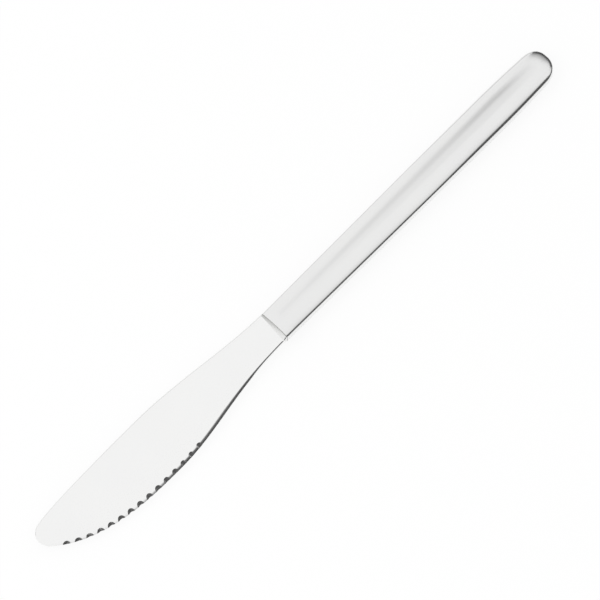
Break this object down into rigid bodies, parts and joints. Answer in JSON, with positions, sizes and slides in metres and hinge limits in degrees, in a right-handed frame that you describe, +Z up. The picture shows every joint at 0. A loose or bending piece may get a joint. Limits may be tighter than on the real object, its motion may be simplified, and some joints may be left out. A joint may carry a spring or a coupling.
{
  "type": "table knife",
  "caption": "Stainless table knife lying flat: leaf-shaped blade with ground notches along the front of its edge, sloping shoulder, and a slim hollow handle with a rounded end.",
  "frame": {"origin": "middle of the knife's length and width, on the surface that it lies on", "axes": "+X along the knife to the handle's end, +Y across it to the spine's side, +Z up out of the front face"},
  "size_m": [0.21, 0.0196, 0.0055],
  "materials": {
    "blade_steel": "polished stainless steel, forged",
    "handle_steel": "polished stainless steel sheet, pressed",
    "weld_steel": "weld bead, ground and polished flush",
    "solder": "silver solder, cleaned flush",
    "cement": "cast handle cement, matt"
  },
  "bodies": {
    "root": {"blade": "blade_steel", "front_shell": "handle_steel", "back_shell": "handle_steel", "seam_weld": "weld_steel", "mouth_solder": "solder", "tang_cement": "cement"}
  },
  "joints": []
}
